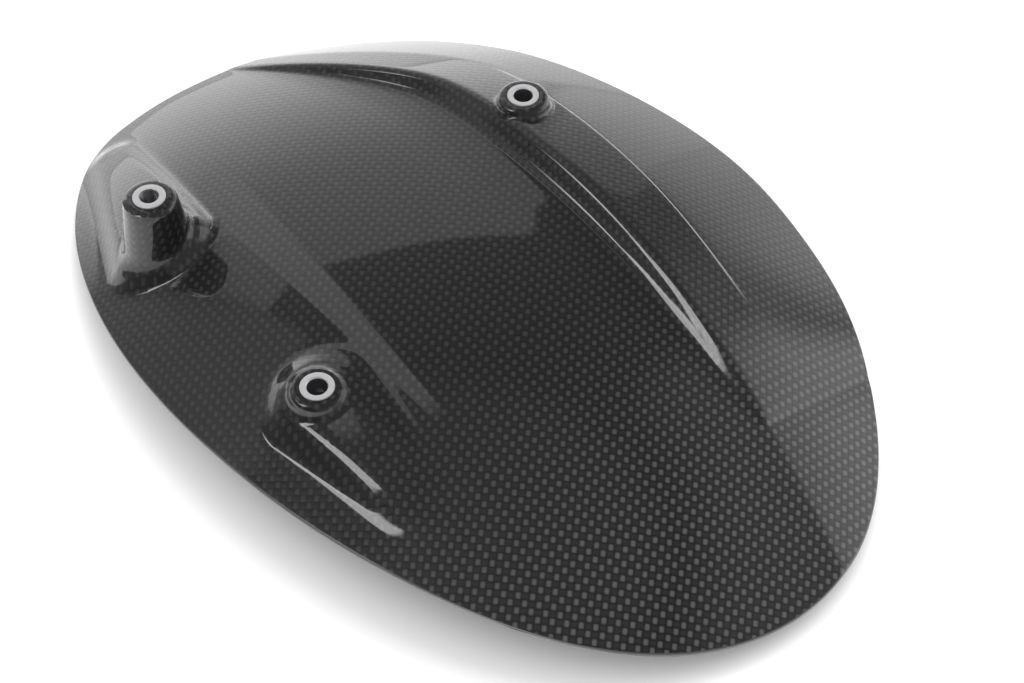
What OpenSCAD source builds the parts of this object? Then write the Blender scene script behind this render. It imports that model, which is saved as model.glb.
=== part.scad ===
// Rear splash guard for a motorbike: a thin moulded laminate shell, arched
// lengthwise to follow the tyre, with a raised rib along one side, a soft fold
// along the other, and three moulded bosses that carry bonded metal inserts.
// +X runs to the tail, +Y to the side with the long rib, +Z up along the bosses.
// The origin is on the floor, under the middle of the outline.

/* [Outline] */
// Half of the shell's length in plan
half_len = 142.9; // [130:0.1:160]
// Width from the spine to the rim at mid-length, on the rib side
rib_side_w = 113.2; // [104:0.1:122]
// How much wider that side is towards the far end than towards the tail
rib_side_skew = 41.8; // [34:0.1:50]
// Extra fullness of that side towards both tips
rib_side_full = 27.3; // [20:0.1:34]
// Width from the spine to the rim at mid-length, on the fold side
fold_side_w = 78.5; // [72:0.1:86]
// How much wider that side is towards the tail than towards the far end
fold_side_skew = 9; // [4:0.1:14]
// More of the same, only near the tips
fold_side_taper = 10.4; // [4:0.1:16]
// Sideways offset of the spine, the line that joins the two tips
spine_y = -17.8; // [-22:0.1:-12]
// Sideways lean of the spine from end to end
spine_lean = 42.8; // [34:0.1:50]

/* [Skin] */
// Thickness of the laminate
skin_t = 1.2; // [0.8:0.1:2]
// Radius of the lengthwise arch
arch_r = 350; // [300:5:450]
// Radius of the crosswise crown
crown_r = 430; // [300:10:900]
// Sideways offset of the arch from the middle of the outline
arch_y = -2; // [-6:0.1:2]
// Height of the top of the arch above the floor
crown_z = 37.8; // [37.8:0.1:45]

/* [Fold side] */
// Distance from the arch line to the soft fold at mid-length
fold_y = 44.7; // [38:0.1:50]
// How far the soft fold closes in at the tips
fold_close = 21; // [10:1:28]
// Extra slope beyond the soft fold at mid-length
fold_slope = 0.18; // [0.08:0.01:0.3]
// Extra slope beyond the soft fold at the tail
fold_slope_tail = 0.02; // [0:0.01:0.15]
// Softness of the fold
fold_soft = 6; // [2:0.5:10]
// Place along the length where the fold starts to flatten towards the tail
fold_flat_x = 10; // [0:1:60]

/* [Rib side] */
// Distance from the arch line to the top edge of the rib where it bows out furthest
rib_y = 42.6; // [40:0.1:46]
// Place along the length where the rib and the crease bow out furthest
rib_mid_x = -20; // [-30:1:-10]
// Radius of the rib and the crease seen from above
side_plan_r = 590; // [500:10:700]
// Place along the length where the rib and the crease turn in to the far rim
bend_x = -66; // [-74:1:-58]
// How far the rib turns in, for each millimetre of length
rib_bend = 0.36; // [0.3:0.01:0.42]
// How far the crease turns in, for each millimetre of length
crease_bend = 0.5; // [0.42:0.01:0.56]
// Height of the rib where it is highest
rib_h = 6.8; // [3:0.1:10]
// Place along the length where the rib starts, at its tail end
rib_tip_x = 86; // [78:1:94]
// Place along the length where the rib runs out, at the far rim
rib_far_x = -142; // [-150:1:-136]
// Plan width of the bank up to the rib's top edge, where the rib is highest
bank_w = 19; // [12:0.5:22]
// Plan width of the bank at both ends
bank_end_w = 1; // [1:0.5:4]
// How hollow the banks of the rib and the fairings are
bank_hollow = 2.5; // [1.5:0.1:3]
// Slope outside the rib at mid-length
wing_slope = 0.1; // [0.04:0.01:0.2]
// Slope outside the rib at the tail
wing_slope_tail = 0.15; // [0.06:0.01:0.25]
// Place along the length where the tail's slope is reached
wing_tail_x = 90; // [70:1:120]
// Softness of the rib's top edge and of the crease
edge_soft = 0.8; // [0.5:0.1:3]
// Distance from the arch line to the crease where it bows out furthest
crease_y = 61.5; // [58:0.1:65]
// Extra slope outside the crease
crease_slope = 0.14; // [0.04:0.01:0.2]
// Place along the length where the crease starts to fade towards the tail
crease_fade_x = 30; // [10:1:50]
// Place along the length where the crease is gone
crease_end_x = 105; // [80:1:130]

/* [Bosses] */
// Radius of a boss at its top
boss_r = 8.3; // [7.5:0.1:9.5]
// Growth in a boss's radius for each millimetre down
boss_draft = 0.15; // [0.08:0.01:0.2]
// Rounding of a boss's shoulder
boss_round = 2; // [1:0.25:2.5]
// Depth of the solid head that holds an insert
head_depth = 11; // [10.5:0.5:13]
// Wall of the hollow boss under its head
boss_wall = 2; // [1.5:0.1:3]
// Place of the tall boss along the length
tall_x = -69.5; // [-76:0.5:-64]
// Distance of the tall boss in from the rim on the fold side
tall_inset = 25; // [22:0.1:28]
// Height of the tall boss above the skin
tall_h = 24; // [18:0.5:28]
// Place of the low boss along the length
low_x = 14.2; // [8:0.1:20]
// Distance of the low boss in from the rim on the fold side
low_inset = 28.6; // [26:0.1:34]
// Height of the low boss above the skin
low_h = 6; // [5:0.5:9]
// Place of the rib boss along the length
rib_boss_x = -34; // [-40:0.5:-28]
// Distance of the rib boss outside the rib's top edge
rib_boss_out = 8.2; // [6:0.1:10]
// Height of the rib boss above the skin
rib_boss_h = 4; // [3:0.5:7]

/* [Fairings] */
// Length of the fairing behind the tall boss
tall_fairing_l = 60; // [45:1:62]
// Height of that fairing where it leaves the boss
tall_fairing_h = 7; // [5:0.5:12]
// Height of that fairing at its far end
tall_fairing_end_h = 2.5; // [1:0.5:5]
// Half-width of that fairing's top at the boss
tall_fairing_w = 12.5; // [11:0.5:14]
// Half-width of that fairing's top at its far end
tall_fairing_end_w = 4.5; // [3:0.5:6]
// Plan width of that fairing's bank
tall_fairing_side = 3.5; // [3:0.5:5]
// Length of the fairing that trails from the low boss
low_fairing_l = 58; // [50:1:70]
// Half-width of that fairing's top at the boss
low_fairing_w = 10; // [9:0.5:12]
// Half-width of that fairing's top at its tail end
low_fairing_end_w = 3.5; // [2:0.5:6]
// Height of that fairing over the panel's own sweep at the boss
low_fairing_rise = 0.2; // [0:0.1:2]
// Plan width of that fairing's bank
low_fairing_side = 6; // [4:0.5:8]

/* [Inserts] */
// Radius of an insert's flange
flange_r = 5; // [4.6:0.1:6]
// Thickness of the flange
flange_t = 1.2; // [0.8:0.1:2]
// How far the flange stands proud of the boss
flange_proud = 0.4; // [0.2:0.1:0.6]
// Radius of an insert's barrel
barrel_r = 4.2; // [3.8:0.1:4.4]
// Length of an insert from the top of its flange
insert_l = 10; // [8:0.5:10]
// Bonding gap round an insert
bond_gap = 0.05; // [0.03:0.01:0.1]
// Radius of the tapped hole, for an M6 thread
tapped_r = 2.5; // [2:0.1:2.7]
// Radius of the plain holes
plain_r = 3; // [2.6:0.1:3.2]
// Radius of the step at the bottom of a plain hole
step_r = 2.4; // [2:0.1:2.5]
// Depth of the plain hole down to its step
plain_depth = 7; // [5:0.5:7.5]
// Width of the chamfer at the mouth of a hole
mouth_chamfer = 0.4; // [0.2:0.1:0.6]

/* [Hidden] */

// Grid of the skin: rows along the length, and bands of columns across the
// width. Columns run from the fold side to the rib's top edge, then to the rim.
// Each band has its outer end as a share of that way, and its count of columns.
rows = 56;
inner_bands = [[0.067, 2], [0.367, 12], [0.733, 8], [1, 12]];
outer_bands = [[0.34, 4], [1, 6]];
// Facets of the round solids
round_fn = 64;
// Points in a rounded shoulder
shoulder_steps = 5;
// A cut that runs clear of the face it starts from
clear = 1;
// Softness of the turn of the rib and the crease to the far rim
bend_soft = 6;
// How much shorter the nose of the tall fairing is than a round one
tall_nose = 1.3;
// Softness of the low fairing's top where it leaves the skin
deck_soft = 0.6;
// Fairing axes: direction in degrees from +X
tall_fairing_dir = 165.5;
low_fairing_dir = 3.5;
// Drop of the low fairing under the panel's sweep at its tail end
low_fairing_drop = 2;
// Share of the low fairing's length over which its end melts into the skin
fairing_melt = 0.45;
// Half-size and cells of the block that trims the tall boss
trim_half = 16;
trim_cells = 14;

// Small helpers
function clamp01(t) = min(1, max(0, t));
// Zero below t = 0 and rising at 45 degrees above it, rounded over width w
function ramp(t, w) = t > 12 * w ? t : t < -12 * w ? 0 : w * ln(1 + exp(t / w));
// Step from 0 to 1 with flat ends
function step01(t) = let (c = clamp01(t)) c * c * c * (10 - 15 * c + 6 * c * c);
function mix(a, b, t) = a + (b - a) * t;
// Share of the way from the middle to a tip, squared
function tipward(x) = x * x / (half_len * half_len);

// Lines that guide the skin, measured from the arch line
function fold_line(x) = fold_y - fold_close * tipward(x);
function plan_bow(x) = (x - rib_mid_x) * (x - rib_mid_x) / (2 * side_plan_r);
function bend(x) = ramp(bend_x - x, bend_soft);
function rib_line(x) = rib_y - plan_bow(x) - rib_bend * bend(x);
function crease_line(x) = crease_y - plan_bow(x) - crease_bend * bend(x);

// Share of the rib's full height along the length
function rib_share(x) = sin(180 * clamp01((rib_tip_x - x) / (rib_tip_x - rib_far_x)));

// A hollow bank with a crisp top edge: 1 inside that edge, 0 at its foot
function bank(inside, width) =
    pow(max(0, 1 - ramp(-inside, edge_soft) / width), bank_hollow);

// Plain panel: the lengthwise arch and the crosswise crown
function panel(x, y) =
    let (yy = y - arch_y)
    crown_z - arch_r + sqrt(arch_r * arch_r - x * x) - yy * yy / (2 * crown_r);

// Skin without its fairings: the panel with its fold, rib, wing and crease
function plain_skin(x, y) =
    let (
        yy = y - arch_y,
        fold = mix(fold_slope, fold_slope_tail, step01((x - fold_flat_x) / (half_len - fold_flat_x))),
        wing = mix(wing_slope, wing_slope_tail, step01(x / wing_tail_x)),
        crease = crease_slope * (1 - step01((x - crease_fade_x) / (crease_end_x - crease_fade_x))),
        out = yy - rib_line(x),
        share = rib_share(x)
    )
    panel(x, y)
    - fold * ramp(-yy - fold_line(x), fold_soft)
    + rib_h * share * bank(out, bank_end_w + bank_w * share)
    - wing * ramp(out, edge_soft)
    - crease * ramp(yy - crease_line(x), edge_soft);

// Outline: half-width at a share s of the half-length, on either side
function side_w(s, side) =
    side > 0 ? rib_side_w - rib_side_skew * pow(s, 3) + rib_side_full * pow(s, 4)
             : fold_side_w + fold_side_skew * s + fold_side_taper * pow(s, 3);
function spine(s) = spine_y + spine_lean * s / 2;
function fold_rim(x) =
    let (s = x / half_len)
    spine(s) - sqrt(1 - s * s) * side_w(s, -1);

// Places of the bosses across the width
tall_y = fold_rim(tall_x) + tall_inset;
low_y = fold_rim(low_x) + low_inset;
rib_boss_y = arch_y + rib_line(rib_boss_x) + rib_boss_out;

// A fairing's place: share of the way along it, and distance inside its edge
function fairing_at(x, y, cx, cy, dir, len, w0, w1, nose) =
    let (
        a = (x - cx) * cos(dir) + (y - cy) * sin(dir),
        b = (y - cy) * cos(dir) - (x - cx) * sin(dir),
        q = clamp01(a / len),
        past = a > len ? a - len : min(0, a) * nose
    )
    [q, mix(w0, w1, q) - sqrt(b * b + past * past)];

// The top surface of the laminate
function skin_z(x, y) =
    let (
        z = plain_skin(x, y),
        low = fairing_at(x, y, low_x, low_y, low_fairing_dir, low_fairing_l,
                         low_fairing_w, low_fairing_end_w, 1),
        deck = panel(x, y) + mix(low_fairing_rise, -low_fairing_drop, low[0]),
        melt = 1 - step01((low[0] - 1 + fairing_melt) / fairing_melt),
        tall = fairing_at(x, y, tall_x, tall_y, tall_fairing_dir, tall_fairing_l,
                          tall_fairing_w, tall_fairing_end_w, tall_nose)
    )
    z + bank(low[1], low_fairing_side) * melt * ramp(deck - z, deck_soft)
    + bank(tall[1], tall_fairing_side) * mix(tall_fairing_h, tall_fairing_end_h, tall[0]);

// Vertical thickness that gives the laminate its true thickness on a slope
slope_step = 0.5;
function skin_depth(x, y) =
    let (
        sx = (skin_z(x + slope_step, y) - skin_z(x - slope_step, y)) / (2 * slope_step),
        sy = (skin_z(x, y + slope_step) - skin_z(x, y - slope_step)) / (2 * slope_step)
    )
    skin_t * sqrt(1 + sx * sx + sy * sy);

// A square grid pressed into the outline: u along, v across, both -1 to 1
function plan_point(u, v) =
    let (
        s = u * sqrt(1 - v * v / 2),
        t = v * sqrt(1 - u * u / 2),
        x = half_len * s
    )
    [x, spine(s) + t * side_w(s, t)];

// The v at which a row u meets the rib's top edge, found by repeated correction
function rib_v(u, v = 0.4, tries = 12) =
    tries == 0 ? v :
    let (
        s = u * sqrt(1 - v * v / 2),
        t = (arch_y + rib_line(half_len * s) - spine(s)) / side_w(s, 1)
    )
    rib_v(u, t / sqrt(1 - u * u / 2), tries - 1);

// Columns of the grid between two ends, from its bands
function band_columns(bands, from, to, k = 0, start = 0) =
    k == len(bands) ? [] :
    concat([for (i = [1 : bands[k][1]]) mix(from, to, mix(start, bands[k][0], i / bands[k][1]))],
           band_columns(bands, from, to, k + 1, bands[k][0]));
function row_columns(u) =
    let (edge = rib_v(u))
    concat([-1], band_columns(inner_bands, -1, edge), band_columns(outer_bands, edge, 1));

// A closed solid between a top and a bottom height over a grid of plan points
module grid_solid(plan, tops, bottoms) {
    nu = len(plan) - 1;
    nv = len(plan[0]) - 1;
    count = (nu + 1) * (nv + 1);
    function at(i, j) = i * (nv + 1) + j;
    upper = [for (i = [0 : nu], j = [0 : nv]) [plan[i][j][0], plan[i][j][1], tops[i][j]]];
    lower = [for (i = [0 : nu], j = [0 : nv]) [plan[i][j][0], plan[i][j][1], bottoms[i][j]]];
    // Each cell is cut along the diagonal that points to the nearest corner
    function cell(i, j) =
        (i - (nu - 1) / 2) * (j - (nv - 1) / 2) > 0
        ? [[at(i, j), at(i, j + 1), at(i + 1, j + 1)], [at(i, j), at(i + 1, j + 1), at(i + 1, j)]]
        : [[at(i, j), at(i, j + 1), at(i + 1, j)], [at(i, j + 1), at(i + 1, j + 1), at(i + 1, j)]];
    top_faces = [for (i = [0 : nu - 1], j = [0 : nv - 1]) each cell(i, j)];
    bottom_faces = [for (f = top_faces) [f[2] + count, f[1] + count, f[0] + count]];
    loop = concat([for (j = [0 : nv - 1]) at(0, j)], [for (i = [0 : nu - 1]) at(i, nv)],
                  [for (j = [nv : -1 : 1]) at(nu, j)], [for (i = [nu : -1 : 1]) at(i, 0)]);
    n = len(loop);
    rim_faces = [for (k = [0 : n - 1]) let (a = loop[k], b = loop[(k + 1) % n])
        each [[a, a + count, b + count], [a, b + count, b]]];
    polyhedron(concat(upper, lower), concat(top_faces, bottom_faces, rim_faces), convexity = 8);
}

// The moulded skin
module skin() {
    plan = [for (i = [0 : rows]) let (u = 2 * i / rows - 1) [for (v = row_columns(u)) plan_point(u, v)]];
    tops = [for (row = plan) [for (p = row) skin_z(p[0], p[1])]];
    bottoms = [for (row = plan) [for (p = row) skin_z(p[0], p[1]) - skin_depth(p[0], p[1])]];
    grid_solid(plan, tops, bottoms);
}

// Everything under the middle of the skin, round the tall boss
module under_tall_boss() {
    steps = [for (i = [0 : trim_cells]) trim_half * (2 * i / trim_cells - 1)];
    plan = [for (a = steps) [for (b = steps) [tall_x + a, tall_y + b]]];
    tops = [for (row = plan) [for (p = row) skin_z(p[0], p[1]) - skin_depth(p[0], p[1]) / 2]];
    bottoms = [for (row = plan) [for (p = row) -crown_z]];
    grid_solid(plan, tops, bottoms);
}

// Height of the top of a boss that stands h above the skin
function boss_top(x, y, h) = plain_skin(x, y) + h;

// Solid cone of a boss, from its top down, with a rounded shoulder
module boss_cone(depth) {
    tilt = atan(boss_draft);
    arc = [for (i = [0 : shoulder_steps]) let (a = 90 - (90 - tilt) * i / shoulder_steps)
        [boss_r - boss_round + boss_round * cos(a), boss_round * (sin(a) - 1)]];
    rotate_extrude($fn = round_fn)
        polygon(concat([[0, 0]], arc,
                       [[boss_r + boss_draft * depth, -depth], [0, -depth]]));
}

// Seat of an insert, cut into a boss from above
module insert_seat(depth) {
    seat_r = barrel_r + bond_gap;
    rim_r = flange_r + bond_gap;
    translate([0, 0, flange_proud - flange_t])
        cylinder(r = rim_r, h = flange_t + clear, $fn = round_fn);
    translate([0, 0, -depth])
        cylinder(r = seat_r, h = depth, $fn = round_fn);
}

// Hollow under the head of the tall boss
module tall_hollow() {
    depth = tall_h + head_depth;
    top_r = boss_r - boss_wall + boss_draft * head_depth;
    translate([0, 0, -depth])
        cylinder(r1 = top_r + boss_draft * (depth - head_depth), r2 = top_r,
                 h = depth - head_depth, $fn = round_fn);
}

module at_tall() translate([tall_x, tall_y, boss_top(tall_x, tall_y, tall_h)]) children();
module at_low() translate([low_x, low_y, boss_top(low_x, low_y, low_h)]) children();
module at_rib_boss()
    translate([rib_boss_x, rib_boss_y, boss_top(rib_boss_x, rib_boss_y, rib_boss_h)]) children();

module guard_shell() {
    color([0.09, 0.09, 0.1])
    difference() {
        union() {
            skin();
            difference() {
                at_tall() boss_cone(tall_h + head_depth);
                under_tall_boss();
            }
            at_low() boss_cone(head_depth);
            at_rib_boss() boss_cone(head_depth);
        }
        at_tall() tall_hollow();
        at_tall() insert_seat(head_depth + clear);
        at_low() insert_seat(head_depth + clear);
        at_rib_boss() insert_seat(head_depth + clear);
    }
}

// A flanged insert: the hole is tapped right through, or plain with a step
module insert(tapped) {
    top = flange_proud;
    bottom = top - insert_l;
    hole_r = tapped ? tapped_r : plain_r;
    floor_z = tapped ? bottom : top - plain_depth;
    color([0.78, 0.79, 0.8])
    rotate_extrude($fn = round_fn)
        polygon(concat(
            [[hole_r + mouth_chamfer, top], [flange_r, top], [flange_r, top - flange_t],
             [barrel_r, top - flange_t], [barrel_r, bottom]],
            tapped ? [] : [[step_r, bottom], [step_r, floor_z]],
            [[hole_r, floor_z], [hole_r, top - mouth_chamfer]]));
}

module insert_left_rear() at_tall() insert(true);
module insert_left_front() at_low() insert(false);
module insert_right() at_rib_boss() insert(false);

guard_shell();
insert_left_rear();
insert_left_front();
insert_right();
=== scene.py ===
"""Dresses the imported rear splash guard: smooth laminate skin, turned inserts, weave and studio."""

import math

import bpy
import numpy as np
from mathutils import Matrix


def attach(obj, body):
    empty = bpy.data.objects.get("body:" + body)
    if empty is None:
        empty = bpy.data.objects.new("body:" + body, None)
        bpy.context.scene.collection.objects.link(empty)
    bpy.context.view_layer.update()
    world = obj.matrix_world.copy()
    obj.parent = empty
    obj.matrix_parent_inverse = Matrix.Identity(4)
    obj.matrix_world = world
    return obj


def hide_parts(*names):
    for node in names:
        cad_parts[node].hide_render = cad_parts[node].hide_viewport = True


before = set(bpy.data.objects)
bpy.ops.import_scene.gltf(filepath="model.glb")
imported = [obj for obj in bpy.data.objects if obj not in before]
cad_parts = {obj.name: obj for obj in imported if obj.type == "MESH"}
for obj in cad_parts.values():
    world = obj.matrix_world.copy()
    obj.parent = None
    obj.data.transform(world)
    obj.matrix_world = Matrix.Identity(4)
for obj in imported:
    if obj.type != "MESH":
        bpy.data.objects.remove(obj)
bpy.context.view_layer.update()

MM = 0.001

# Form of the shell, in mm
HALF_LEN = 142.9
RIB_SIDE_W, RIB_SIDE_SKEW, RIB_SIDE_FULL = 113.2, 41.8, 27.3
FOLD_SIDE_W, FOLD_SIDE_SKEW, FOLD_SIDE_TAPER = 78.5, 9.0, 10.4
SPINE_Y, SPINE_LEAN = -17.8, 42.8
SKIN_T = 1.2
ARCH_R, CROWN_R, ARCH_Y, CROWN_Z, ARCH_END_X = 350.0, 430.0, -2.0, 37.8, 200.0
FOLD_Y, FOLD_CLOSE, FOLD_SLOPE, FOLD_SLOPE_TAIL, FOLD_SOFT, FOLD_FLAT_X = 44.7, 21.0, 0.18, 0.02, 6.0, 10.0
RIB_Y, RIB_MID_X, SIDE_PLAN_R = 42.6, -20.0, 590.0
BEND_X, BEND_SOFT, RIB_BEND, CREASE_BEND = -66.0, 6.0, 0.36, 0.5
RIB_H, RIB_TIP_X, RIB_FAR_X = 7.8, 98.0, -142.0
BANK_W, BANK_END_W, EDGE_SOFT = 18.3, 1.0, 0.5
KNEE_AT, KNEE_SOFT, FOOT_SOFT, FOOT_PITCH = 0.63, 0.04, 0.12, 0.17
FAR_FULLNESS, TIP_FULLNESS, FULL_FROM_X, FULL_TO_X = 1.0, 0.66, -60.0, 30.0
WING_SLOPE, WING_SLOPE_TAIL, WING_TAIL_X = 0.10, 0.165, 90.0
CREASE_Y, CREASE_SLOPE, CREASE_FADE_X, CREASE_END_X = 61.5, 0.14, 30.0, 105.0
BOSS_R, BOSS_DRAFT, BOSS_ROUND, HEAD_DEPTH, BOSS_WALL = 8.3, 0.15, 2.0, 11.0, 2.0
TALL_X, TALL_INSET, TALL_H = -69.5, 25.0, 24.0
LOW_X, LOW_INSET, LOW_H = 14.2, 28.6, 6.0
RIB_BOSS_X, RIB_BOSS_OUT, RIB_BOSS_H = -34.0, 8.2, 4.0
TALL_FAIRING = dict(dir=165.5, length=60.0, start_w=12.5, end_w=4.5, nose=1.3,
                    start_h=7.0, end_h=2.5, side=5.0, soft=1.0)
LOW_FAIRING = dict(dir=3.5, length=58.0, start_w=10.0, end_w=3.5, nose=1.0,
                   rise=0.2, drop=2.0, melt=0.45, side=6.0, soft=1.0)
DECK_SOFT = 0.6
FLANGE_R, FLANGE_T, FLANGE_PROUD = 5.0, 1.2, 0.4
BARREL_R, INSERT_L, BOND_GAP = 4.2, 10.0, 0.05
TAPPED_R, PLAIN_R, STEP_R, PLAIN_DEPTH, MOUTH_CHAMFER = 2.5, 3.0, 2.4, 7.0, 0.4

# How finely slopes and meeting lines are worked out
SLOPE_STEP = 0.5
RIB_V_GUESS, SOLVE_STEPS = 0.4, 12


def clamp01(t):
    return np.clip(t, 0.0, 1.0)


def ramp(t, w):
    """0 below zero and t above it, with a soft bend of width w."""
    return w * np.logaddexp(0.0, t / w)


def step01(t):
    t = clamp01(t)
    return t * t * t * (10 - 15 * t + 6 * t * t)


def mix(a, b, t):
    return a + (b - a) * t


def tipward(x):
    return x * x / HALF_LEN ** 2


def fold_line(x):
    return FOLD_Y - FOLD_CLOSE * tipward(x)


def plan_bow(x):
    return (x - RIB_MID_X) ** 2 / (2 * SIDE_PLAN_R)


def bend(x):
    return ramp(BEND_X - x, BEND_SOFT)


def rib_line(x):
    return RIB_Y - plan_bow(x) - RIB_BEND * bend(x)


def crease_line(x):
    return CREASE_Y - plan_bow(x) - CREASE_BEND * bend(x)


def rib_share(x):
    """The share of the rib's full height at x, zero at both of its ends."""
    fullness = mix(FAR_FULLNESS, TIP_FULLNESS, step01((x - FULL_FROM_X) / (FULL_TO_X - FULL_FROM_X)))
    return np.sin(np.pi * clamp01((RIB_TIP_X - x) / (RIB_TIP_X - RIB_FAR_X))) ** fullness


def rib_bank(out, width):
    """The bank up to the rib: a gentle foot, then a steep wall up to a crisp top edge."""
    q = 1 - ramp(-out, EDGE_SOFT) / width
    foot = ramp(q, FOOT_SOFT)
    wall = ramp(q - KNEE_AT, KNEE_SOFT)
    return FOOT_PITCH * foot + (1 - FOOT_PITCH) / (1 - KNEE_AT) * wall


def flank(inside, width, soft):
    """The straight flank of a fairing: 1 inside its top edge and 0 at its foot, both softened."""
    return (ramp(inside + width, soft) - ramp(inside, soft)) / width


def panel(x, y):
    yy = y - ARCH_Y
    arch = np.sqrt(ARCH_R ** 2 - np.minimum(x * x, ARCH_END_X ** 2))
    return CROWN_Z - ARCH_R + arch - yy * yy / (2 * CROWN_R)


def plain_skin(x, y):
    """The top of the skin without fairings and bosses."""
    yy = y - ARCH_Y
    fold = mix(FOLD_SLOPE, FOLD_SLOPE_TAIL, step01((x - FOLD_FLAT_X) / (HALF_LEN - FOLD_FLAT_X)))
    wing = mix(WING_SLOPE, WING_SLOPE_TAIL, step01(x / WING_TAIL_X))
    crease = CREASE_SLOPE * (1 - step01((x - CREASE_FADE_X) / (CREASE_END_X - CREASE_FADE_X)))
    out, share = yy - rib_line(x), rib_share(x)
    return (panel(x, y) - fold * ramp(-yy - fold_line(x), FOLD_SOFT)
            + RIB_H * share * rib_bank(out, BANK_END_W + BANK_W * share)
            - wing * ramp(out, EDGE_SOFT) - crease * ramp(yy - crease_line(x), EDGE_SOFT))


def side_w(s, t):
    rib = RIB_SIDE_W - RIB_SIDE_SKEW * s ** 3 + RIB_SIDE_FULL * s ** 4
    fold = FOLD_SIDE_W + FOLD_SIDE_SKEW * s + FOLD_SIDE_TAPER * s ** 3
    return np.where(t > 0, rib, fold)


def spine(s):
    return SPINE_Y + SPINE_LEAN * s / 2


def fold_rim(x):
    s = x / HALF_LEN
    return float(spine(s) - math.sqrt(1 - s * s) * side_w(s, -1.0))


TALL_Y = fold_rim(TALL_X) + TALL_INSET
LOW_Y = fold_rim(LOW_X) + LOW_INSET
RIB_BOSS_Y = ARCH_Y + float(rib_line(RIB_BOSS_X)) + RIB_BOSS_OUT


def fairing_at(x, y, cx, cy, f):
    """The share of the way along a fairing, and how far a point lies inside its top edge."""
    c, s = math.cos(math.radians(f["dir"])), math.sin(math.radians(f["dir"]))
    a = (x - cx) * c + (y - cy) * s
    b = (y - cy) * c - (x - cx) * s
    q = clamp01(a / f["length"])
    past = np.where(a > f["length"], a - f["length"], np.minimum(0.0, a) * f["nose"])
    return q, mix(f["start_w"], f["end_w"], q) - np.sqrt(b * b + past * past)


def skin_z(x, y):
    """The top of the skin with its fairings."""
    low, tall = LOW_FAIRING, TALL_FAIRING
    skin = plain_skin(x, y)
    q_low, in_low = fairing_at(x, y, LOW_X, LOW_Y, low)
    deck = panel(x, y) + mix(low["rise"], -low["drop"], q_low)
    melt = 1 - step01((q_low - 1 + low["melt"]) / low["melt"])
    low_form = flank(in_low, low["side"], low["soft"]) * melt * ramp(deck - skin, DECK_SOFT)
    q_tall, in_tall = fairing_at(x, y, TALL_X, TALL_Y, tall)
    tall_form = flank(in_tall, tall["side"], tall["soft"]) * mix(tall["start_h"], tall["end_h"], q_tall)
    return skin + low_form + tall_form


def skin_depth(x, y):
    """The upright depth of the skin, so that it is SKIN_T thick square to itself."""
    d = SLOPE_STEP
    sx = (skin_z(x + d, y) - skin_z(x - d, y)) / (2 * d)
    sy = (skin_z(x, y + d) - skin_z(x, y - d)) / (2 * d)
    return SKIN_T * np.sqrt(1 + sx * sx + sy * sy)


def under_z(x, y):
    return skin_z(x, y) - skin_depth(x, y)


def plan_point(u, v):
    """A point of the plan for u and v from -1 to 1: a square mapped onto the outline."""
    s = u * np.sqrt(1 - v * v / 2)
    t = v * np.sqrt(1 - u * u / 2)
    return HALF_LEN * s, spine(s) + t * side_w(s, t)


def rib_v(u):
    """The v at which each row u meets the rib's top edge, found by repeated correction."""
    v = np.full_like(u, RIB_V_GUESS)
    for _ in range(SOLVE_STEPS):
        s = u * np.sqrt(1 - v * v / 2)
        v = (ARCH_Y + rib_line(HALF_LEN * s) - spine(s)) / side_w(s, 1.0) / np.sqrt(1 - u * u / 2)
    return v


# Weave coordinates, in mm, from a table of lengths across the skin
TABLE_X, TABLE_Y = 150.0, 110.0
TABLE_DX, TABLE_DY = 3.0, 1.0
TABLE_MARGIN = 1.001
ARC_X = np.arange(-TABLE_X, TABLE_X + 1, TABLE_DX)
ARC_Y = np.arange(-TABLE_Y, TABLE_Y + 1, TABLE_DY)


def arc_table():
    """The length over the skin from the line y = ARCH_Y, for each x and y of the table."""
    x, y = np.meshgrid(ARC_X, ARC_Y, indexing="ij")
    rises = np.diff(plain_skin(x, y), axis=1)
    sums = np.cumsum(np.hypot(rises, TABLE_DY), axis=1)
    lengths = np.concatenate([np.zeros((len(ARC_X), 1)), sums], axis=1)
    zero = np.argmin(abs(ARC_Y - ARCH_Y))
    return lengths - lengths[:, zero:zero + 1]


ARC_TABLE = arc_table()


def turned(a, b):
    """Turns a pair of lengths by 45 degrees."""
    return np.stack([(a + b) / math.sqrt(2), (b - a) / math.sqrt(2)], axis=-1)


def weave_uv(x, y):
    """Distances along and across the skin, turned so that the tows run at 45 degrees."""
    fx = np.clip((x - ARC_X[0]) / TABLE_DX, 0, len(ARC_X) - TABLE_MARGIN)
    fy = np.clip((y - ARC_Y[0]) / TABLE_DY, 0, len(ARC_Y) - TABLE_MARGIN)
    i, j = fx.astype(int), fy.astype(int)
    p, q = fx - i, fy - j
    across = ((ARC_TABLE[i, j] * (1 - p) + ARC_TABLE[i + 1, j] * p) * (1 - q)
              + (ARC_TABLE[i, j + 1] * (1 - p) + ARC_TABLE[i + 1, j + 1] * p) * q)
    along = ARCH_R * np.arcsin(np.clip(x / ARCH_R, -1, 1))
    return turned(along, across)


# Mesh helpers
SKIN_SHARP, INSERT_SHARP = 35.0, 30.0
MAIN_MAT, SECOND_MAT = 0, 1


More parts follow.
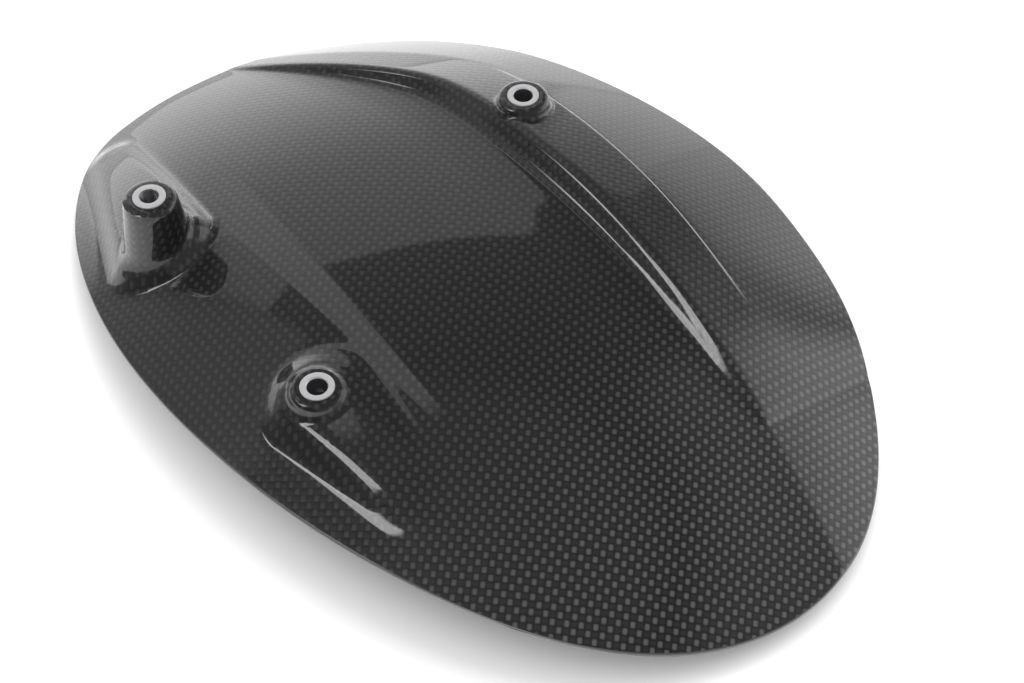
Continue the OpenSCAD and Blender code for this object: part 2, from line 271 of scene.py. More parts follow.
class Sheet:
    """Vertices in mm and faces, with a weave coordinate at each corner and a material for each face."""

    def __init__(self):
        self.verts, self.faces, self.uvs, self.mats = [], [], [], []
        self.count = 0

    def add(self, xyz):
        xyz = np.asarray(xyz, float).reshape(-1, 3)
        start = self.count
        self.verts.append(xyz)
        self.count += len(xyz)
        return np.arange(start, self.count)

    def face(self, ids, uv, mat=MAIN_MAT):
        self.faces.append(list(ids))
        self.uvs.extend(uv)
        self.mats.append(mat)

    def object(self, name, materials, sharp=SKIN_SHARP):
        """Makes the object. Edges that bend more than sharp, in degrees, are shaded sharp."""
        mesh = bpy.data.meshes.new(name)
        verts = np.concatenate(self.verts) * MM
        mesh.from_pydata(verts.tolist(), [], [[int(k) for k in f] for f in self.faces])
        layer = mesh.uv_layers.new(name="weave")
        layer.data.foreach_set("uv", np.asarray(self.uvs, dtype=np.float32).ravel())
        for m in materials:
            mesh.materials.append(m)
        mesh.polygons.foreach_set("material_index", self.mats)
        mesh.validate()
        mesh.shade_smooth()
        mesh.set_sharp_from_angle(angle=math.radians(sharp))
        obj = bpy.data.objects.new(name, mesh)
        bpy.context.collection.objects.link(obj)
        return obj


def ring_faces(sheet, outer, inner, uv_outer, uv_inner, mat=MAIN_MAT, flip=False):
    """Quads between two closed loops of the same length."""
    n = len(outer)
    for k in range(n):
        m = (k + 1) % n
        ids = [outer[k], outer[m], inner[m], inner[k]]
        uv = [uv_outer[k], uv_outer[m], uv_inner[m], uv_inner[k]]
        if flip:
            ids, uv = ids[::-1], uv[::-1]
        sheet.face(ids, uv, mat)


# Bosses: each takes a round patch out of the grid, and its own rings fill it
BOSSES = {
    "tall": dict(x=TALL_X, y=TALL_Y, h=TALL_H, patch=19.0, fillet=3.0, hollow=True),
    "low": dict(x=LOW_X, y=LOW_Y, h=LOW_H, patch=15.5, fillet=2.2, hollow=False),
    "rib": dict(x=RIB_BOSS_X, y=RIB_BOSS_Y, h=RIB_BOSS_H, patch=14.0, fillet=1.6, hollow=False),
}
for b in BOSSES.values():
    b["top"] = float(plain_skin(np.float64(b["x"]), np.float64(b["y"]))) + b["h"]

SEAT_R = FLANGE_R + BOND_GAP
HOLE_R = BARREL_R + BOND_GAP
HOLE_START, HOLE_END = 1.5, 3.0
FLAT_STEPS, ROUND_STEPS, PROFILE_STEPS = 4, 13, 1200
OUT_RINGS, FILLET_RINGS, FLANK_RINGS = 18, 8, 14
BELOW_GROUND, PATCH_MARGIN, FILLET_SHARE = 12.0, 0.6, 0.8
# The weave is wrapped round the flank at this radius, from this ring on and on bosses over this height
WRAP_FROM, WRAP_MIN_H, WRAP_R = OUT_RINGS + 3, 10, BOSS_R + 1.0
FOOT_GUESS_R, MIN_COLLAR = BOSS_R + 1.0, 0.01
UNDER_PATCH_STEPS, UNDER_WALL_STEPS = 7, 6


def boss_profile(depth):
    """Radius and drop of a boss, from the edge of the insert's seat down the flank."""
    tilt = math.atan(BOSS_DRAFT)
    flat_r = BOSS_R - BOSS_ROUND
    pts = [(r, 0.0) for r in np.linspace(SEAT_R, flat_r, FLAT_STEPS)[:-1]]
    for a in np.linspace(math.pi / 2, tilt, ROUND_STEPS):
        pts.append((flat_r + BOSS_ROUND * math.cos(a), BOSS_ROUND * (math.sin(a) - 1)))
    r0, z0 = pts[-1]
    for s in np.linspace(0, 1, int(depth) + 2)[1:]:
        pts.append((r0 + BOSS_DRAFT * (depth + z0) * s, z0 - (depth + z0) * s))
    return np.array(pts)


def curve(start, corner, end, t):
    """A point at share t of a curve from start to end that bends towards a corner."""
    return (1 - t) ** 2 * start + 2 * t * (1 - t) * corner + t * t * end


def boss_rings(b, ang):
    """Points of a boss's rings at each angle, from its patch's edge over a fillet up to the seat."""
    prof = boss_profile(b["h"] + BELOW_GROUND)
    arc = np.concatenate([[0], np.cumsum(np.hypot(*np.diff(prof, axis=0).T))])
    way = np.linspace(0, arc[-1], PROFILE_STEPS)
    way_r, way_z = np.interp(way, arc, prof[:, 0]), np.interp(way, arc, prof[:, 1]) + b["top"]
    rings = np.zeros((OUT_RINGS + FILLET_RINGS + FLANK_RINGS, len(ang), 3))
    lengths = np.zeros(rings.shape[:2])
    for k, a in enumerate(ang):
        c, s = math.cos(a), math.sin(a)
        ground = skin_z(b["x"] + way_r * c, b["y"] + way_r * s)
        below = np.nonzero(way_z < ground)[0]
        # The flank meets the ground here, and the fillet reaches f to both sides of it
        cross = way[below[0]] if len(below) else arc[-1]
        cross_r, cross_z = np.interp(cross, way, way_r), np.interp(cross, way, way_z)
        f = min(b["fillet"], cross * FILLET_SHARE)
        up = cross - f
        up_r, up_z = np.interp(up, way, way_r), np.interp(up, way, way_z)
        foot_r = min(cross_r + f, b["patch"] - PATCH_MARGIN)
        foot_z = float(skin_z(np.float64(b["x"] + foot_r * c), np.float64(b["y"] + foot_r * s)))
        out_r = np.linspace(b["patch"], foot_r, OUT_RINGS + 1)[:-1]
        out_z = skin_z(b["x"] + out_r * c, b["y"] + out_r * s)
        t = np.linspace(0, 1, FILLET_RINGS + 1)[:-1]
        flank_at = np.linspace(1, 0, FLANK_RINGS) * up
        r = np.concatenate([out_r, curve(foot_r, cross_r, up_r, t), np.interp(flank_at, way, way_r)])
        z = np.concatenate([out_z, curve(foot_z, cross_z, up_z, t), np.interp(flank_at, way, way_z)])
        rings[:, k, 0], rings[:, k, 1], rings[:, k, 2] = b["x"] + r * c, b["y"] + r * s, z
        lengths[1:, k] = np.cumsum(np.hypot(np.diff(r), np.diff(z)))
    return rings, lengths


def hole_loop(keep):
    """The grid points on the border between dropped and kept cells."""
    rows, cols = keep.shape
    points = set()
    for i in range(rows):
        for j in range(cols):
            if keep[i, j]:
                continue
            for di, dj in ((-1, 0), (1, 0), (0, -1), (0, 1)):
                a, c = i + di, j + dj
                if 0 <= a < rows and 0 <= c < cols and keep[a, c]:
                    if di:
                        e = i + (di > 0)
                        points.update([(e, j), (e, j + 1)])
                    else:
                        e = j + (dj > 0)
                        points.update([(i, e), (i + 1, e)])
    return points


# Shell
TOP_GRID, UNDER_GRID = (300, 240), (200, 160)
INNER_SHARE = 0.72
EDGE_ROUND, EDGE_STEPS = 0.32, 4
RIM_IN = 0.02


def build_side(sheet, top):
    """One side of the laminate as a grid with round holes for the bosses.

    Returns the rim's vertices, its plan, the way out of it, its weave coordinates and the holes' loops.
    """
    height = skin_z if top else under_z
    rows, cols = TOP_GRID if top else UNDER_GRID
    u = np.linspace(-1, 1, rows + 1)
    # Columns run from the fold side to the rib's top edge, then on to the rim
    inner = round(cols * INNER_SHARE)
    edge = rib_v(u)[:, None]
    V = np.hstack([mix(-1.0, edge, np.linspace(0, 1, inner + 1)),
                   mix(edge, 1.0, np.linspace(0, 1, cols - inner + 1)[1:])])
    U = np.broadcast_to(u[:, None], V.shape)
    X, Y = plan_point(U, V)
    # The rim loop is drawn in by the rounding of the edge
    loop = ([(0, j) for j in range(cols)] + [(i, cols) for i in range(rows)]
            + [(rows, j) for j in range(cols, 0, -1)] + [(i, 0) for i in range(rows, 0, -1)])
    li, lj = np.array(loop).T
    rim = np.stack([X[li, lj], Y[li, lj]], axis=1)
    tangent = np.roll(rim, -1, axis=0) - np.roll(rim, 1, axis=0)
    tangent /= np.linalg.norm(tangent, axis=1)[:, None]
    outward = np.stack([-tangent[:, 1], tangent[:, 0]], axis=1)
    X[li, lj] -= outward[:, 0] * EDGE_ROUND
    Y[li, lj] -= outward[:, 1] * EDGE_ROUND
    keep = np.ones((rows, cols), bool)
    holes = {}
    for name, b in BOSSES.items():
        near = np.hypot(X - b["x"], Y - b["y"]) < b["patch"]
        cell_near = near[:-1, :-1] | near[1:, :-1] | near[:-1, 1:] | near[1:, 1:]
        holes[name] = sorted(hole_loop(~cell_near),
                             key=lambda ij: math.atan2(Y[ij] - b["y"], X[ij] - b["x"]))
        keep[cell_near] = False
        # The border of the hole is drawn onto the patch's circle
        for ij in holes[name]:
            a = math.atan2(Y[ij] - b["y"], X[ij] - b["x"])
            X[ij], Y[ij] = b["x"] + b["patch"] * math.cos(a), b["y"] + b["patch"] * math.sin(a)
    Z = height(X, Y)
    ids = sheet.add(np.stack([X, Y, Z], axis=-1)).reshape(rows + 1, cols + 1)
    UV = weave_uv(X, Y)
    for i in range(rows):
        for j in range(cols):
            if keep[i, j]:
                q = [(i, j), (i + 1, j), (i + 1, j + 1), (i, j + 1)]
                if not top:
                    q = q[::-1]
                sheet.face([ids[k] for k in q], [UV[k] for k in q])
    loops = {}
    for name, ij in holes.items():
        b = BOSSES[name]
        ang = np.array([math.atan2(Y[k] - b["y"], X[k] - b["x"]) for k in ij])
        loops[name] = (np.array([ids[k] for k in ij]), ang, np.array([UV[k] for k in ij]))
    return np.array([ids[k] for k in loop]), rim, outward, np.array([UV[k] for k in loop]), loops


def flank_uv(ang, lengths):
    """Weave coordinates wrapped round a boss, from the length up its flank."""
    turn = np.unwrap(ang) * WRAP_R
    return turned(np.broadcast_to(turn, lengths.shape), -lengths)


def build_boss_top(sheet, name, loop):
    """The outside of a boss, the seat of its insert's flange and the start of the hole."""
    b = BOSSES[name]
    loop_ids, ang, _ = loop
    rings, lengths = boss_rings(b, ang)
    ring_ids = [loop_ids] + [sheet.add(r) for r in rings[1:]]
    plan_uv = weave_uv(rings[..., 0], rings[..., 1])
    wrap_uv = flank_uv(ang, lengths)
    n = len(ang)
    closing = turned(np.float64(2 * math.pi * WRAP_R), np.float64(0.0))
    for k in range(len(rings) - 1):
        wrapped = k >= WRAP_FROM and b["h"] > WRAP_MIN_H
        uv_all = wrap_uv if wrapped else plan_uv
        for m in range(n):
            w = (m + 1) % n
            add = closing if wrapped and w == 0 else 0.0
            ids = [ring_ids[k][m], ring_ids[k][w], ring_ids[k + 1][w], ring_ids[k + 1][m]]
            uv = [uv_all[k, m], uv_all[k, w] + add, uv_all[k + 1, w] + add, uv_all[k + 1, m]]
            sheet.face(ids, uv)
    seat_z = b["top"] + FLANGE_PROUD - FLANGE_T
    prev, uv = ring_ids[-1], plan_uv[-1]
    for r, z in ((SEAT_R, seat_z), (HOLE_R, seat_z), (HOLE_R, seat_z - HOLE_START)):
        pts = np.stack([b["x"] + r * np.cos(ang), b["y"] + r * np.sin(ang), np.full(n, z)], axis=1)
        cur = sheet.add(pts)
        ring_faces(sheet, prev, cur, uv, uv)
        prev = cur


def under_wall_r(b, z):
    """Radius at height z of the wall under a boss: of its hollow, or of its collar."""
    if b["hollow"]:
        head_r = BOSS_R - BOSS_WALL + BOSS_DRAFT * HEAD_DEPTH
        return head_r + BOSS_DRAFT * (b["top"] - HEAD_DEPTH - z)
    return BOSS_R + BOSS_DRAFT * (b["top"] - z)


def build_boss_under(sheet, name, loop):
    """The underside of a boss: a short collar, or the hollow of the tall one."""
    b = BOSSES[name]
    loop_ids, ang, loop_uv = loop
    n = len(ang)
    bottom = b["top"] - HEAD_DEPTH
    c, s = np.cos(ang), np.sin(ang)
    r_foot = np.full(n, FOOT_GUESS_R)
    for _ in range(SOLVE_STEPS):
        z_foot = under_z(b["x"] + r_foot * c, b["y"] + r_foot * s)
        r_foot = under_wall_r(b, z_foot)
    z_foot = under_z(b["x"] + r_foot * c, b["y"] + r_foot * s)
    if not b["hollow"]:
        z_foot = np.maximum(z_foot, bottom + MIN_COLLAR)
    rings = []
    for q in np.linspace(0, 1, UNDER_PATCH_STEPS)[1:]:
        r = b["patch"] + (r_foot - b["patch"]) * q
        z = under_z(b["x"] + r * c, b["y"] + r * s)
        rings.append((r, z_foot if q == 1 else z))
    for q in np.linspace(0, 1, UNDER_WALL_STEPS)[1:]:
        z = z_foot + (bottom - z_foot) * q
        rings.append((under_wall_r(b, z), z))
    rings.append((np.full(n, HOLE_R), np.full(n, bottom)))
    rings.append((np.full(n, HOLE_R), np.full(n, bottom + HOLE_END)))
    prev, prev_uv = loop_ids, loop_uv
    for r, z in rings:
        x, y = b["x"] + r * c, b["y"] + r * s
        cur = sheet.add(np.stack([x, y, z], axis=1))
        uv = weave_uv(x, y)
        ring_faces(sheet, prev, cur, prev_uv, uv, flip=True)
        prev, prev_uv = cur, uv


def build_shell(laminate, edge, under):
    """Both sides of the shell. The rounded rim goes with the top side."""
    top = Sheet()
    rim_ids, rim, outward, uv, loops = build_side(top, True)
    for name, loop in loops.items():
        build_boss_top(top, name, loop)
    low = Sheet()
    for name, loop in build_side(low, False)[-1].items():
        build_boss_under(low, name, loop)
    z_top = skin_z(rim[:, 0], rim[:, 1])
    z_low = under_z(rim[:, 0], rim[:, 1])
    rows = []
    for a in np.linspace(math.pi / 2, 0, EDGE_STEPS)[1:]:
        rows.append((EDGE_ROUND * math.cos(a) - EDGE_ROUND, z_top - EDGE_ROUND + EDGE_ROUND * math.sin(a)))
    for a in np.linspace(0, -math.pi / 2, EDGE_STEPS):
        rows.append((EDGE_ROUND * math.cos(a) - EDGE_ROUND, z_low + EDGE_ROUND + EDGE_ROUND * math.sin(a)))
    prev = rim_ids
    for out, z in rows:
        x, y = (rim[:, axis] + outward[:, axis] * (out - RIM_IN) for axis in (0, 1))
        cur = top.add(np.stack([x, y, z], axis=1))
        ring_faces(top, prev, cur, uv, uv, SECOND_MAT)
        prev = cur
    return top.object("guard_skin", [laminate, edge]), low.object("guard_underside", [under])


# Inserts
TURNED_SEGMENTS = 96
BEVEL, BEVEL_STEPS, BEVEL_SHARE = 0.12, 3, 0.45
BORE_BELOW_R = PLAIN_R + 0.05
THREAD_PITCH, THREAD_DEPTH, THREAD_CREST, THREAD_SLOPE = 1.0, 0.45, 1.2, 2.6
THREAD_ROW, THREAD_FOOT, THREAD_TOP_GAP = 0.1, 0.2, 0.15
THREAD_FADE_FOOT, THREAD_FADE_TOP = 0.6, 0.3


def lathe(name, b, profile, materials):
    """A turned solid in boss b from a closed profile of radius, height and share of the thread's depth."""
    sheet = Sheet()
    n = TURNED_SEGMENTS
    ang = np.arange(n) * 2 * math.pi / n
    rings = []
    for r, z, threaded in profile:
        rr = np.full(n, r)
        if threaded:
            phase = (z / THREAD_PITCH - ang / (2 * math.pi)) % 1.0
            groove = np.clip(THREAD_CREST - THREAD_SLOPE * abs(phase - 0.5), 0, 1)
            rr = rr + THREAD_DEPTH * groove * threaded
        x, y = b["x"] + rr * np.cos(ang), b["y"] + rr * np.sin(ang)
        rings.append(sheet.add(np.stack([x, y, np.full(n, b["top"] + z)], axis=1)))
    uv = np.zeros((n, 2))
    for k in range(len(rings)):
        # Faces inside the hole take the second, darker material: painted shade in the hole
        inside = max(profile[k - 1][0], profile[k][0]) < BORE_BELOW_R
        ring_faces(sheet, rings[k - 1], rings[k], uv, uv, SECOND_MAT if inside else MAIN_MAT)
    return sheet.object(name, materials, INSERT_SHARP)


def bevelled(points):
    """Rounds each corner of a closed profile by a small arc."""
    out = []
    n = len(points)
    for k in range(n):
        p0, p, p1 = (np.array(points[(k + d) % n], float) for d in (-1, 0, 1))
        a, c = p0 - p, p1 - p
        la, lc = np.linalg.norm(a), np.linalg.norm(c)
        s = min(BEVEL, la * BEVEL_SHARE, lc * BEVEL_SHARE)
        start, end = p + a / la * s, p + c / lc * s
        for t in np.linspace(0, 1, BEVEL_STEPS + 1):
            out.append(tuple(curve(start, p, end, t)))
    return out


def insert_profile(tapped):
    top, bottom = FLANGE_PROUD, FLANGE_PROUD - INSERT_L
    hole = TAPPED_R if tapped else PLAIN_R
    floor = bottom if tapped else top - PLAIN_DEPTH
    pts = [(hole + MOUTH_CHAMFER, top), (FLANGE_R, top), (FLANGE_R, top - FLANGE_T),
           (BARREL_R, top - FLANGE_T), (BARREL_R, bottom)]
    if not tapped:
        pts += [(STEP_R, bottom), (STEP_R, floor)]
    pts += [(hole, floor), (hole, top - MOUTH_CHAMFER)]
    rows = [(r, z, 0) for r, z in bevelled(pts)]
    if tapped:
        # The thread's rows go between the last corner at the foot of the hole and the chamfer
        start, end = bottom + THREAD_FOOT, top - MOUTH_CHAMFER
        foot = max(k for k, (_, z, _) in enumerate(rows) if z < start)
        wall = [(hole, z, min(1.0, (z - bottom) / THREAD_FADE_FOOT, (end - z + THREAD_ROW) / THREAD_FADE_TOP))
                for z in np.arange(start, end - THREAD_TOP_GAP, THREAD_ROW)]
        rows = rows[:foot + 1] + wall + rows[foot + 1:]
    return rows


# Materials
def new_material(name):
    m = bpy.data.materials.new(name)
    m.use_nodes = True
    nodes = m.node_tree.nodes
    bsdf = next(n for n in nodes if n.type == "BSDF_PRINCIPLED")
    return m, m.node_tree, bsdf


def math_node(tree, op, *values):
    n = tree.nodes.new("ShaderNodeMath")
    n.operation = op
    for k, value in enumerate(values):
        if isinstance(value, (int, float)):
            n.inputs[k].default_value = value
        else:
            tree.links.new(value, n.inputs[k])
    return n.outputs[0]


def smooth_node(tree, value, lo, hi, level=0.0):
    """A smooth step from level, where the value is under lo, to 1, where it is over hi."""
    n = tree.nodes.new("ShaderNodeMapRange")
    n.interpolation_type = "SMOOTHSTEP"
    n.inputs["From Min"].default_value = lo
    n.inputs["From Max"].default_value = hi
    n.inputs["To Min"].default_value = level
    tree.links.new(value, n.inputs["Value"])
    return n.outputs["Result"]


# The pitch of the tows is in mm, and the painted sheen's limits along x and the depth of the bump are in
# metres
TOW_PITCH, TOW_WAVE, TOW_SIDE_POWER, TOW_SIDE_DROP = 2.0, 0.96, 3.0, 0.75
FIBRES_ACROSS, FIBRES_ALONG, FIBRE_STEP_P, FIBRE_STEP_Q = 22.0, 1.3, 3.7, 5.3
FIBRE_SHARE, FIBRE_BASE = 0.5, 0.75
CROWN_SHEEN_FROM, CROWN_SHEEN_TO, PAINTED_SHEEN_FIRST_TOWS, PAINTED_SHEEN_ALL_TOWS = 0.15, 1.0, 0.86, 0.14
SHEEN_TAIL_FROM_X, SHEEN_TAIL_TO_X, SHEEN_AWAY_FROM_TAIL = 0.03, 0.12, 0.29
# The first colour is the resin's own black; the second is the tows' sheen, a painted highlight put in as
# colour
RESIN_COLOUR, PAINTED_TOW_SHEEN_COLOUR = (0.0045, 0.0045, 0.0048, 1), (0.066, 0.0655, 0.0645, 1)
BUMP_STRENGTH, BUMP_DEPTH = 0.6, 0.00012


def laminate_material():
    m, tree, bsdf = new_material("laminate")
    link = tree.links.new

    def calc(op, *values):
        return math_node(tree, op, *values)

    uv = tree.nodes.new("ShaderNodeUVMap")
    uv.uv_map = "weave"
    sep = tree.nodes.new("ShaderNodeSeparateXYZ")
    link(uv.outputs[0], sep.inputs[0])
    p = calc("DIVIDE", sep.outputs[0], TOW_PITCH)
    q = calc("DIVIDE", sep.outputs[1], TOW_PITCH)
    cell_p, cell_q = calc("FLOOR", p), calc("FLOOR", q)
    in_p = calc("SUBTRACT", calc("SUBTRACT", p, cell_p), 0.5)
    in_q = calc("SUBTRACT", calc("SUBTRACT", q, cell_q), 0.5)
    # In every second cell the tow on top runs the other way
    parity = calc("FLOORED_MODULO", calc("ADD", cell_p, cell_q), 2.0)
    other = calc("SUBTRACT", 1.0, parity)
    across = calc("ADD", calc("MULTIPLY", in_q, other), calc("MULTIPLY", in_p, parity))
    along = calc("ADD", calc("MULTIPLY", in_p, other), calc("MULTIPLY", in_q, parity))
    # A tow rises over its crossing and falls towards its sides
    crown = calc("COSINE", calc("MULTIPLY", along, math.pi * TOW_WAVE))
    off_middle = calc("POWER", calc("ABSOLUTE", calc("MULTIPLY", across, 2.0)), TOW_SIDE_POWER)
    height = calc("MULTIPLY", crown, calc("SUBTRACT", 1.0, calc("MULTIPLY", off_middle, TOW_SIDE_DROP)))
    # Fine fibres run along each tow and vary its painted sheen
    comb = tree.nodes.new("ShaderNodeCombineXYZ")
    cell_seed = calc("ADD", calc("MULTIPLY", cell_p, FIBRE_STEP_P), calc("MULTIPLY", cell_q, FIBRE_STEP_Q))
    link(calc("MULTIPLY", across, FIBRES_ACROSS), comb.inputs[0])
    link(calc("MULTIPLY", along, FIBRES_ALONG), comb.inputs[1])
    link(cell_seed, comb.inputs[2])
    noise = tree.nodes.new("ShaderNodeTexNoise")
    noise.inputs["Scale"].default_value = 1.0
    noise.inputs["Detail"].default_value = 1.0
    link(comb.outputs[0], noise.inputs["Vector"])
    fibre = calc("ADD", calc("MULTIPLY", noise.outputs["Fac"], FIBRE_SHARE), FIBRE_BASE)
    # Painted sheen: the tows of one way are painted much brighter, as if they caught the light, and the sheen
    # on all tows is painted stronger towards the +x end
    tow_sheen_share = calc("ADD", calc("MULTIPLY", other, PAINTED_SHEEN_FIRST_TOWS), PAINTED_SHEEN_ALL_TOWS)
    painted_sheen = calc("MULTIPLY", smooth_node(tree, height, CROWN_SHEEN_FROM, CROWN_SHEEN_TO), tow_sheen_share)
    painted_sheen = calc("MULTIPLY", painted_sheen, fibre)
    here = tree.nodes.new("ShaderNodeTexCoord")
    here_sep = tree.nodes.new("ShaderNodeSeparateXYZ")
    link(here.outputs["Object"], here_sep.inputs[0])
    # Painted light: the sheen is painted weaker away from the +x end, where the lamps catch the weave less
    painted_tail_sheen = smooth_node(tree, here_sep.outputs[0], SHEEN_TAIL_FROM_X, SHEEN_TAIL_TO_X, SHEEN_AWAY_FROM_TAIL)
    painted_sheen = calc("MULTIPLY", painted_sheen, painted_tail_sheen)
    # The colour runs from the resin's black to the painted sheen, by the painted sheen's share
    colour = tree.nodes.new("ShaderNodeMix")
    colour.data_type = "RGBA"
    colour.inputs["A"].default_value = RESIN_COLOUR
    colour.inputs["B"].default_value = PAINTED_TOW_SHEEN_COLOUR
    link(painted_sheen, colour.inputs["Factor"])
    link(colour.outputs["Result"], bsdf.inputs["Base Color"])
    bump = tree.nodes.new("ShaderNodeBump")
    bump.inputs["Strength"].default_value = BUMP_STRENGTH
    bump.inputs["Distance"].default_value = BUMP_DEPTH
    link(height, bump.inputs["Height"])
    link(bump.outputs[0], bsdf.inputs["Normal"])
    bsdf.inputs["Roughness"].default_value = 0.42
    bsdf.inputs["Specular IOR Level"].default_value = 0.25
    bsdf.inputs["Coat Weight"].default_value = 1.0
    bsdf.inputs["Coat Roughness"].default_value = 0.025
    bsdf.inputs["Coat IOR"].default_value = 1.5
    return m


def plain_material(name, colour, roughness, metallic=0.0, coat=0.0):
    m, _, bsdf = new_material(name)
    bsdf.inputs["Base Color"].default_value = (*colour, 1)
    bsdf.inputs["Roughness"].default_value = roughness
    bsdf.inputs["Metallic"].default_value = metallic
    bsdf.inputs["Coat Weight"].default_value = coat
    return m


# Pieces
laminate = laminate_material()
edge = plain_material("laminate_edge", (0.05, 0.05, 0.052), roughness=0.3, coat=0.6)
under = plain_material("laminate_underside", (0.014, 0.014, 0.015), roughness=0.45)
metal = plain_material("insert_metal", (0.46, 0.465, 0.475), roughness=0.36, metallic=0.45)
# The hole's walls are painted darker than the insert's metal: painted shade inside the hole
painted_shade_bore = plain_material("insert_bore_painted_shade", (0.16, 0.16, 0.165), roughness=0.3, metallic=0.8)

skin, underside = build_shell(laminate, edge, under)
for piece in (skin, underside):
    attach(piece, "root")
    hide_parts("guard_shell")

for node, boss, tapped in (("insert_left_rear", "tall", True), ("insert_left_front", "low", False),
                           ("insert_right", "rib", False)):
    piece = lathe("turned_" + node, BOSSES[boss], insert_profile(tapped), [metal, painted_shade_bore])
    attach(piece, "root")
    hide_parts(node)

# Studio: the camera looks along its +Y, and the part is turned in it by TURN about Z
TURN = math.radians(-50.616)
ELEVATION = math.radians(50.246)
FOCAL_PX, IMAGE_W, IMAGE_H = 1800.0, 1024.0, 683.0
AIM_U, AIM_V, DISTANCE = 466.881, 317.222, 560.677
AIM_DROP, SENSOR_W, CLIP_START = 33.0, 36.0, 0.01
AIM_POINT = np.array([0.0, ARCH_Y, CROWN_Z - AIM_DROP])
FLOOR_HALF = 3.0

PART_X = np.array([math.cos(TURN), math.sin(TURN), 0.0])
PART_Y = np.array([-math.sin(TURN), math.cos(TURN), 0.0])
PART_Z = np.array([0.0, 0.0, 1.0])


def to_part(studio):
    """A studio direction or offset in the part's axes."""
    return np.array([studio @ PART_X, studio @ PART_Y, studio @ PART_Z])


RIGHT = to_part(np.array([1.0, 0.0, 0.0]))
FORWARD = to_part(np.array([0.0, math.cos(ELEVATION), -math.sin(ELEVATION)]))
UP = to_part(np.array([0.0, math.sin(ELEVATION), math.cos(ELEVATION)]))
camera_at = (AIM_POINT - RIGHT * (AIM_U - IMAGE_W / 2) / FOCAL_PX * DISTANCE
             + UP * (AIM_V - IMAGE_H / 2) / FOCAL_PX * DISTANCE - FORWARD * DISTANCE) * MM


def place(obj, at, right, up, back):
    m = Matrix.Identity(4)
    for r in range(3):
        m[r][0], m[r][1], m[r][2], m[r][3] = right[r], up[r], back[r], at[r]
    obj.matrix_world = m


cam_data = bpy.data.cameras.new("camera")
cam_data.sensor_fit = "HORIZONTAL"
cam_data.sensor_width = SENSOR_W
cam_data.lens = FOCAL_PX / IMAGE_W * SENSOR_W
cam_data.clip_start = CLIP_START
camera = bpy.data.objects.new("camera", cam_data)
bpy.context.collection.objects.link(camera)
place(camera, camera_at, RIGHT, UP, -FORWARD)
bpy.context.scene.camera = camera

# Floor, clear when seen from below
floor_mesh = bpy.data.meshes.new("floor")
corners = [(FLOOR_HALF * x, FLOOR_HALF * y, 0) for x, y in ((-1, -1), (1, -1), (1, 1), (-1, 1))]
floor_mesh.from_pydata(corners, [], [[0, 1, 2, 3]])
floor = bpy.data.objects.new("floor", floor_mesh)
bpy.context.collection.objects.link(floor)
floor_mat = plain_material("floor", (0.93, 0.93, 0.93), roughness=0.9)
floor_mesh.materials.append(floor_mat)
floor_tree = floor_mat.node_tree
face_side = floor_tree.nodes.new("ShaderNodeNewGeometry")
from_below = floor_tree.nodes.new("ShaderNodeBsdfTransparent")
by_side = floor_tree.nodes.new("ShaderNodeMixShader")
floor_out = next(n for n in floor_tree.nodes if n.type == "OUTPUT_MATERIAL")
floor_bsdf = next(n for n in floor_tree.nodes if n.type == "BSDF_PRINCIPLED")
floor_tree.links.new(face_side.outputs["Backfacing"], by_side.inputs[0])
floor_tree.links.new(floor_bsdf.outputs[0], by_side.inputs[1])
floor_tree.links.new(from_below.outputs[0], by_side.inputs[2])
floor_tree.links.new(by_side.outputs[0], floor_out.inputs["Surface"])


def area_light(name, azimuth, elevation, distance, size_x, size_y, power):
    """A soft lamp in a studio direction (degrees from +Y towards +X, and above the floor)."""
    a, e = math.radians(azimuth), math.radians(elevation)
    d = np.array([math.sin(a) * math.cos(e), math.cos(a) * math.cos(e), math.sin(e)])
    right = np.array([math.cos(a), -math.sin(a), 0.0])
    data = bpy.data.lights.new(name, "AREA")
    data.shape = "RECTANGLE"
    data.size, data.size_y = size_x, size_y
    data.energy = power
    obj = bpy.data.objects.new(name, data)
    bpy.context.collection.objects.link(obj)
    place(obj, to_part(d * distance), to_part(right), to_part(np.cross(d, right)), to_part(d))
    obj.visible_glossy = False


# World: white to the camera, zones of light in reflections and a plain level for the rest
world = bpy.data.worlds.new("studio")
bpy.context.scene.world = world
world.use_nodes = True
wt = world.node_tree
wt.nodes.clear()
out = wt.nodes.new("ShaderNodeOutputWorld")
bg = wt.nodes.new("ShaderNodeBackground")
wt.links.new(bg.outputs[0], out.inputs[0])
path = wt.nodes.new("ShaderNodeLightPath")
coords = wt.nodes.new("ShaderNodeTexCoord")


def calc(op, *values):
    return math_node(wt, op, *values)


def both(a, b):
    return calc("MULTIPLY", a, b)


def either(a, b):
    return calc("MAXIMUM", a, b)


def smooth(value, lo, hi):
    return smooth_node(wt, value, lo, hi)


def falling(value, lo, hi):
    return calc("SUBTRACT", 1.0, smooth(value, lo, hi))


def along_axis(vector):
    """How far the mirrored direction points along a vector, from -1 to 1."""
    n = wt.nodes.new("ShaderNodeVectorMath")
    n.operation = "DOT_PRODUCT"
    wt.links.new(coords.outputs["Generated"], n.inputs[0])
    n.inputs[1].default_value = [float(c) for c in vector]
    return n.outputs["Value"]


# Angle round from the backdrop to the right and rise above the floor, in degrees
DEGREES = 180 / math.pi
angle = both(calc("ARCTAN2", along_axis(RIGHT), along_axis(to_part(np.array([0.0, 1.0, 0.0])))), DEGREES)
rise = both(calc("ARCSINE", along_axis(PART_Z)), DEGREES)


def band(value, start, full, fade, end):
    """0 up to start, 1 from full to fade and 0 from end on, smooth between."""
    return both(smooth(value, start, full), falling(value, fade, end))


def low_zone(angles, rises):
    """A zone between angles (start, full, fade, end), under rises (fade, end)."""
    return both(band(angle, *angles), falling(rise, *rises))


def zone(angles, value, limits):
    """A zone between angles (start, full, fade, end) where value, too, is in its band of limits."""
    return both(band(angle, *angles), band(value, *limits))


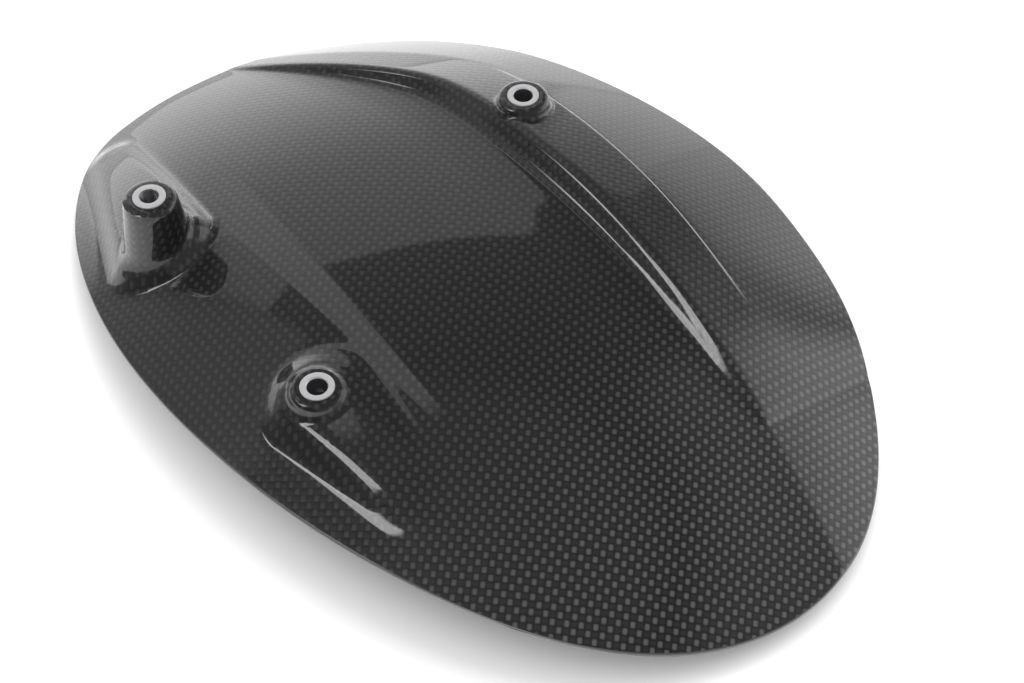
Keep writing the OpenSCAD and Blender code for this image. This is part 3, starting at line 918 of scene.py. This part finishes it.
# The backdrop is brighter near the horizon
HORIZON_FADE, HORIZON_EXTRA, BACKDROP_LEVEL = 32.0, 1.5, 0.68
horizon = calc("ADD", both(falling(rise, 0.0, HORIZON_FADE), HORIZON_EXTRA), BACKDROP_LEVEL)
backdrop = low_zone((-54.0, -48.0, 6.0, 12.0), (45.5, 46.5))
right_back = low_zone((6.0, 12.0, 24.0, 26.0), (31.0, 32.5))
right_low = low_zone((20.0, 26.0, 84.0, 100.0), (12.0, 26.0))
right_rim = low_zone((44.0, 58.0, 90.0, 110.0), (26.0, 44.0))
right_mid = both(smooth(angle, 26.0, 48.0), falling(rise, 56.0, 70.0))
strip = low_zone((-40.0, -39.0, -27.0, -25.0), (70.0, 76.0))
overhead = smooth(rise, 58.0, 74.0)
left_mid = low_zone((-82.0, -76.0, -52.0, -48.0), (52.0, 60.0))
left_end = zone((-114.0, -110.0, -96.0, -94.0), rise, (42.0, 43.5, 48.0, 50.0))
left_tall = zone((-122.0, -116.0, -99.0, -96.0), rise, (43.0, 45.0, 64.0, 68.0))

# A leaning strip on the left, and an arc that the crease mirrors
STRIP_LEAN = 0.53
left_strip = zone((-96.0, -94.0, -88.0, -79.0), calc("MULTIPLY_ADD", angle, STRIP_LEAN, rise),
                  (-7.6, -6.8, -2.8, -2.2))
ARC_MID_ANGLE, ARC_MID_RISE, ARC_BOW = 46.0, 27.5, 0.0135
off_arc = calc("SUBTRACT", ARC_MID_ANGLE, angle)
above_arc = calc("MULTIPLY_ADD", both(off_arc, off_arc), ARC_BOW, calc("SUBTRACT", rise, ARC_MID_RISE))
crease_strip = zone((0.0, 4.0, 42.0, 50.0), above_arc, (-1.7, -0.9, 0.9, 1.7))

# Each zone with its level of light
LEAST_LEVEL, AMBIENT = 0.1, 1.1
glossy = both(horizon, backdrop)
for lit, brightness in ((both(horizon, right_back), 0.6), (both(horizon, right_low), 0.55),
                        (right_rim, 1.6), (strip, 1.0), (right_mid, 0.35), (overhead, 0.22),
                        (either(left_strip, left_end), 8.0), (left_tall, 7.0),
                        (crease_strip, 5.0), (left_mid, 0.4)):
    glossy = either(glossy, both(lit, brightness))
glossy = either(glossy, LEAST_LEVEL)

glossy_ray, camera_ray = path.outputs["Is Glossy Ray"], path.outputs["Is Camera Ray"]
level = calc("ADD", both(glossy_ray, glossy), both(calc("SUBTRACT", 1.0, glossy_ray), AMBIENT))
level = calc("ADD", both(level, calc("SUBTRACT", 1.0, camera_ray)), camera_ray)
wt.links.new(level, bg.inputs["Strength"])
bg.inputs["Color"].default_value = (1, 1, 1, 1)

area_light("key", azimuth=20.0, elevation=62.0, distance=1.8, size_x=1.2, size_y=1.0, power=12.0)
area_light("right_fill", azimuth=70.0, elevation=40.0, distance=1.8, size_x=1.0, size_y=0.8, power=6.0)
area_light("left_fill", azimuth=-80.0, elevation=45.0, distance=2.0, size_x=1.2, size_y=0.8, power=4.0)

bpy.context.scene.view_settings.view_transform = "Standard"
